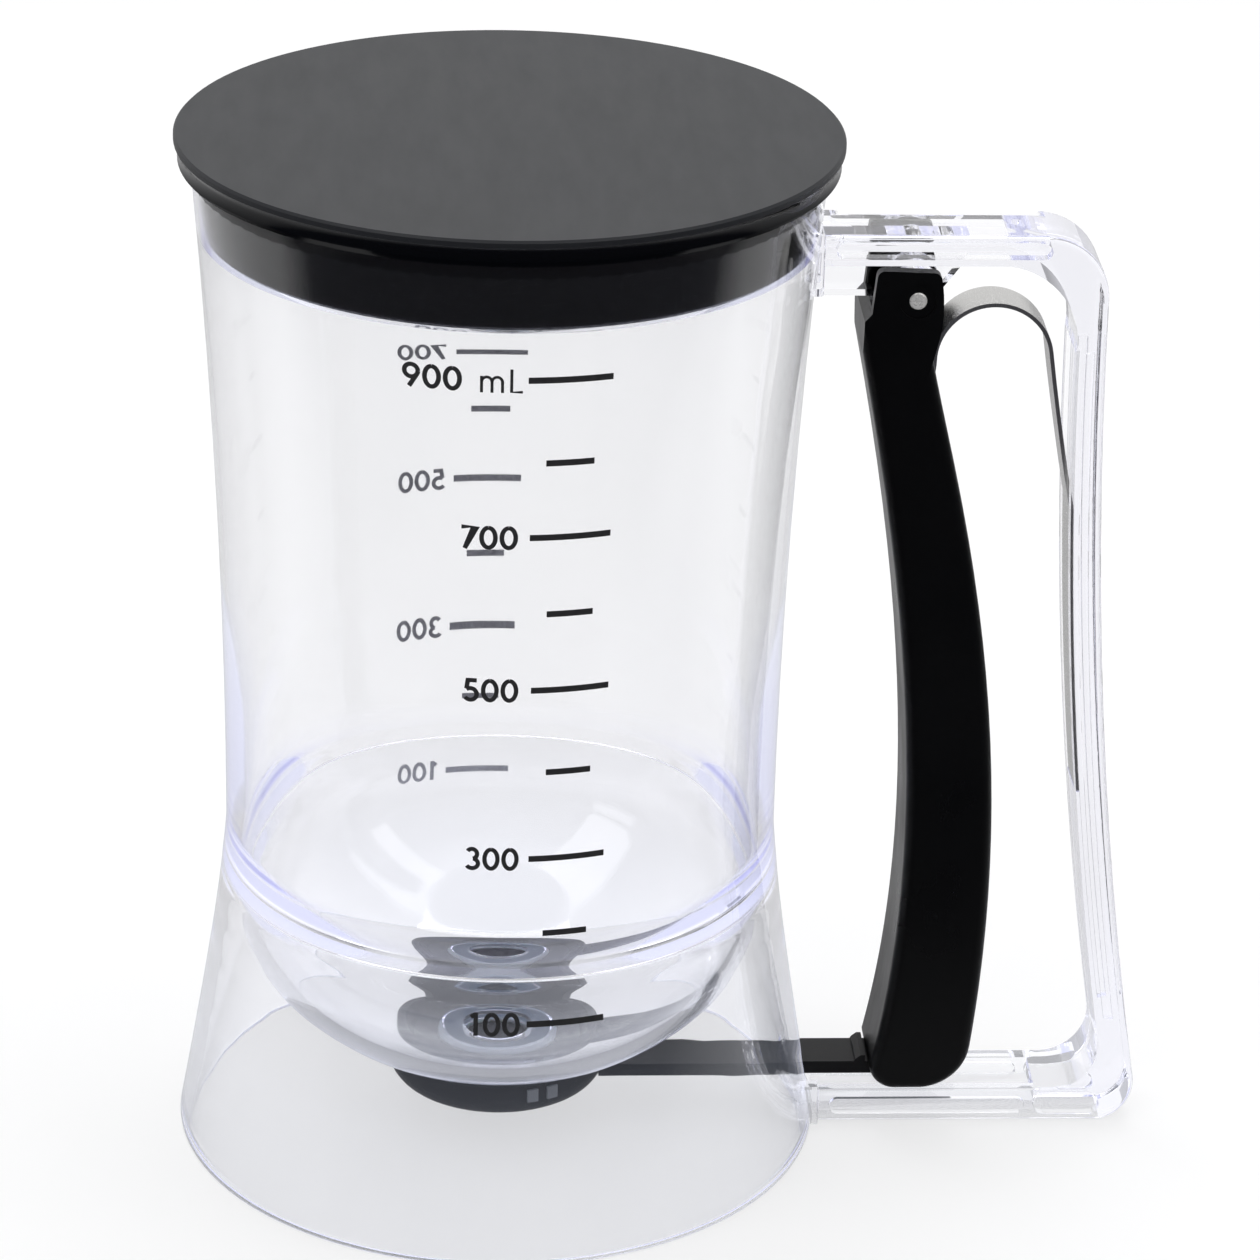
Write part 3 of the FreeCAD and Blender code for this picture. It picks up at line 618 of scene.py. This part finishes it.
def stroke(flat, points, half):
    """A line of even width through the points, with flat ends and joined corners."""
    sides = []
    for i, (x, y) in enumerate(points):
        a = points[max(i - 1, 0)]
        b = points[min(i + 1, len(points) - 1)]
        along = Vector((b[0] - a[0], b[1] - a[1])).normalized()
        widen = 1.0
        if 0 < i < len(points) - 1:
            first = Vector((x - a[0], y - a[1])).normalized()
            widen = 1.0 / max(0.5, first.dot(along))
        across = Vector((-along.y, along.x)) * half * widen
        sides.append((flat.verts.new((x + across.x, y + across.y, 0)),
                      flat.verts.new((x - across.x, y - across.y, 0))))
    for (a, b), (c, d) in zip(sides, sides[1:]):
        flat.faces.new((a, b, d, c))


# Each figure as strokes on a height of one, with its width.
FIGURES = {
    "0": (0.66, [oval((0.33, 0.5), 0.27, 0.43, 90, 450, 36)]),
    "1": (0.46, [[(0.06, 0.80), (0.27, 0.95)], [(0.27, 1.0), (0.27, 0.0)]]),
    "3": (0.60, [oval((0.27, 0.71), 0.21, 0.22, 150, -80),
                 oval((0.27, 0.28), 0.25, 0.22, 80, -150)]),
    "5": (0.60, [[(0.53, 0.93), (0.17, 0.93), (0.11, 0.55)],
                 oval((0.27, 0.32), 0.26, 0.255, 128, -145)]),
    "7": (0.62, [[(0.02, 0.93), (0.56, 0.93), (0.15, 0.0)]]),
    "9": (0.66, [oval((0.33, 0.665), 0.265, 0.265, 0, 360, 32), [(0.575, 0.56), (0.24, 0.0)]]),
    "m": (0.98, [[(0.07, 0.70), (0.07, 0.0)],
                 [(0.07, 0.42)] + oval((0.265, 0.44), 0.195, 0.22, 180, 0, 12) + [(0.46, 0.0)],
                 [(0.46, 0.42)] + oval((0.655, 0.44), 0.195, 0.22, 180, 0, 12) + [(0.85, 0.0)]]),
    "L": (0.52, [[(0.08, 1.0), (0.08, 0.04), (0.50, 0.04)]]),
}
GAP = 0.13
FIGURE_TALL = 4.15 * MM
FIGURE_WEIGHT, UNIT_WEIGHT = 0.185, 0.115
UNIT_ROOM, UNIT_DROP = 8.6 * MM, 0.1 * MM
FRONT_UNIT_SHIFT, REAR_UNIT_SHIFT = 1.03 * MM, 0.2 * MM
MARK_THICK = 1.1 * MM
REAR_THICKER = 1.25


def text_width(text):
    """Width of a text with figures of a height of one."""
    return sum(FIGURES[c][0] for c in text) + GAP * (len(text) - 1)


def write(flat, text, right, middle, weight):
    """Plain figures that end at a place along the wall, centred on a height."""
    x = right / FIGURE_TALL - text_width(text)
    for c in text:
        for points in FIGURES[c][1]:
            placed = [((x + px) * FIGURE_TALL, middle + (py - 0.5) * FIGURE_TALL)
                      for px, py in points]
            stroke(flat, placed, weight * FIGURE_TALL / 2)
        x += FIGURES[c][0] + GAP


def tick(flat, left, right, height, thick):
    """A tick between two places along the wall."""
    stroke(flat, [(x, height) for x in steps(left, right, 14)], thick / 2)


def scale_marks(name, marks, long_span, short_span, figures_end, lean, figures_lean, rear=False):
    """One printed scale: a tick at every mark, and figures at every long tick.

    The rear scale is laid out so that its figures stand on the same side as the front's
    when both are seen from the front. The leans are shifts along the wall by height.
    """
    flat = bmesh.new()
    for amount, height in marks.items():
        is_long = (amount // 100) % 2 == 1
        left, right = (x + lean(height) for x in (long_span if is_long else short_span))
        if rear:
            left, right = -right, -left
        thick = MARK_THICK * (REAR_THICKER if rear else 1.0)
        tick(flat, left * MM, right * MM, height * MM, thick)
        if is_long:
            end = (figures_end + figures_lean(height)) * MM
            text = str(amount)
            if rear:
                end = -end + text_width(text) * FIGURE_TALL
            if amount == max(marks):
                unit_end = end + (REAR_UNIT_SHIFT if rear else FRONT_UNIT_SHIFT)
                write(flat, "mL", unit_end, height * MM - UNIT_DROP, UNIT_WEIGHT)
                end -= UNIT_ROOM
            write(flat, text, end, height * MM, FIGURE_WEIGHT)
    print_on(name, flat, rear)


# The height of each mark in millimetres, by its volume.
FRONT_MARKS = {100: 43.4, 200: 59.8, 300: 73.9, 400: 90.0, 500: 105.2,
               600: 119.1, 700: 133.0, 800: 146.3, 900: 161.0}
REAR_MARKS = {100: 41.7, 200: 59.8, 300: 74.5, 400: 88.9, 500: 104.1,
              600: 119.1, 700: 133.7, 800: 146.3, 900: 161.0}


def lean_from(height, rate, floor=None):
    """A lean that grows with the distance above a height, in millimetres."""
    return lambda h: rate * (h - height if floor is None else max(floor, h - height))


scale_marks("scale_front", FRONT_MARKS, (3.2, 16.6), (5.9, 13.7), 0.2,
            lean_from(100, -0.026, 0.0), lean_from(140, -0.018))
scale_marks("scale_rear", REAR_MARKS, (-8.1, 4.6), (-5.2, 2.0), -9.8,
            lean_from(100, 0.025), lean_from(100, 0.025), rear=True)


# Floor, light and camera

SEEN_SHARE = 0.62
FRONT_SPAN = (-0.10, 0.0)
FRONT_DIM, REST_DIM = 1.0, 0.6


def floor_material():
    """A pale floor that keeps the shadow and shows near white, also through the plastic.

    Rays that have met just one glossy surface see it dark, and darkest in front, as a
    table in a dim room shows in a polished surface.
    """
    s = Shader("floor")
    path = s.add("LightPath").outputs
    seen = s.math("MAXIMUM", path["Is Camera Ray"], path["Is Glossy Ray"])
    seen = s.math("MAXIMUM", seen, path["Is Transmission Ray"])
    front = s.range(s.position()["Y"], *FRONT_SPAN, FRONT_DIM, REST_DIM)
    dim = s.math("MULTIPLY", s.turned_once(path), front)
    share = s.math("MULTIPLY", seen, s.math("SUBTRACT", 1.0, dim))
    share = s.math("MULTIPLY", share, SEEN_SHARE)
    matte = s.add("BsdfDiffuse", {"Color": (0.84, 0.84, 0.85, 1)}).outputs[0]
    dark = s.add("BsdfDiffuse", {"Color": (0.06, 0.06, 0.07, 1)}).outputs[0]
    glow = s.add("Emission", {"Color": (1, 1, 1, 1), "Strength": 1.0}).outputs[0]
    ground = s.add("MixShader", {0: dim, 1: matte, 2: dark}).outputs[0]
    s.surface(s.add("MixShader", {0: share, 1: ground, 2: glow}).outputs[0])
    return s.material


def add_floor(half):
    """A square floor round the origin."""
    mesh = bpy.data.meshes.new("floor")
    mesh.from_pydata([(-half, -half, 0), (half, -half, 0), (half, half, 0), (-half, half, 0)],
                     [], [(0, 1, 2, 3)])
    mesh.materials.append(floor_material())
    piece = new_piece("floor", mesh)


add_floor(6.0)

BEHIND_SPAN = (-0.25, 0.45)
ABOVE_SPAN, ABOVE_LEVEL = (0.55, 0.95), 0.7
ROOM_LEVEL = 0.03
FILL_LEVEL = 0.60


def set_world():
    """A white studio that lights the object evenly and shows white to the camera.

    Rays that have met just one glossy surface see it by its direction instead: white
    behind, paler above, and a dark room in front.
    """
    world = bpy.data.worlds.new("studio")
    bpy.context.scene.world = world
    w = NodeTree(world, "OutputWorld")
    path = w.add("LightPath").outputs
    way = w.add("SeparateXYZ", {0: w.add("TexCoord").outputs["Generated"]}).outputs
    soft = {"interpolation_type": "SMOOTHSTEP"}
    behind = w.range(way["Y"], *BEHIND_SPAN, 0.0, 1.0, **soft)
    above = w.range(way["Z"], *ABOVE_SPAN, 0.0, ABOVE_LEVEL, **soft)
    mirrored = w.math("MAXIMUM", w.math("MAXIMUM", behind, above), ROOM_LEVEL)
    turned = w.turned_once(path)
    level = w.math("ADD", w.math("SUBTRACT", 1.0, turned), w.math("MULTIPLY", turned, mirrored))
    level = w.math("MULTIPLY", level, w.math("SUBTRACT", 1.0, path["Is Diffuse Ray"]))
    level = w.math("ADD", level, w.math("MULTIPLY", path["Is Diffuse Ray"], FILL_LEVEL))
    w.surface(w.add("Background", {"Color": (1, 1, 1, 1), "Strength": level}).outputs[0])


set_world()

AIM = (0.01, 0, 0.09)


def area_lamp(name, place, size, power):
    """A soft box that points at the middle of the object; size in metres, power in watts."""
    data = bpy.data.lights.new(name, "AREA")
    data.shape = "RECTANGLE"
    data.size, data.size_y = size
    data.energy = power
    lamp = bpy.data.objects.new(name, data)
    bpy.context.scene.collection.objects.link(lamp)
    lamp.location = place
    lamp.rotation_euler = (Vector(AIM) - Vector(place)).to_track_quat("-Z", "Y").to_euler()


area_lamp("soft_left", (-0.95, -0.55, 0.95), (0.7, 2.2), 7.0)
area_lamp("soft_right", (0.95, -0.35, 0.9), (0.6, 1.8), 4.5)
area_lamp("soft_top", (0.05, 0.35, 1.35), (1.1, 0.7), 11.0)

# The camera as it was fitted to the circles of the lid and the base in the photograph.
CAMERA_DISTANCE, CAMERA_HEIGHT = 0.7983, 0.4486
PITCH, ROLL, YAW, TURN = (math.radians(a) for a in (23.90, 1.49, 1.59, 2.0))
SENSOR, LENS = 36.0, 142.857


def set_camera():
    """The camera at the photograph's angle; the object's handle points along +X."""
    place = Vector((-CAMERA_DISTANCE * math.sin(TURN), -CAMERA_DISTANCE * math.cos(TURN),
                    CAMERA_HEIGHT))
    heading = YAW + TURN
    ahead = Vector((math.sin(heading) * math.cos(PITCH), math.cos(heading) * math.cos(PITCH),
                    -math.sin(PITCH)))
    level = Vector((math.cos(heading), -math.sin(heading), 0))
    above = level.cross(ahead)
    right = level * math.cos(ROLL) + above * math.sin(ROLL)
    up = above * math.cos(ROLL) - level * math.sin(ROLL)
    matrix = Matrix.Identity(4)
    for column, part in enumerate((right, up, -ahead, place)):
        for row in range(3):
            matrix[row][column] = part[row]
    data = bpy.data.cameras.new("camera")
    data.sensor_width = SENSOR
    data.lens = LENS
    data.clip_start = 0.01
    data.clip_end = 50.0
    camera = bpy.data.objects.new("camera", data)
    bpy.context.scene.collection.objects.link(camera)
    camera.matrix_world = matrix
    bpy.context.scene.camera = camera


set_camera()

scene = bpy.context.scene
scene.view_settings.view_transform = "Standard"
scene.cycles.max_bounces = 13
scene.cycles.transmission_bounces = 13
scene.cycles.transparent_max_bounces = 16
scene.cycles.glossy_bounces = 13
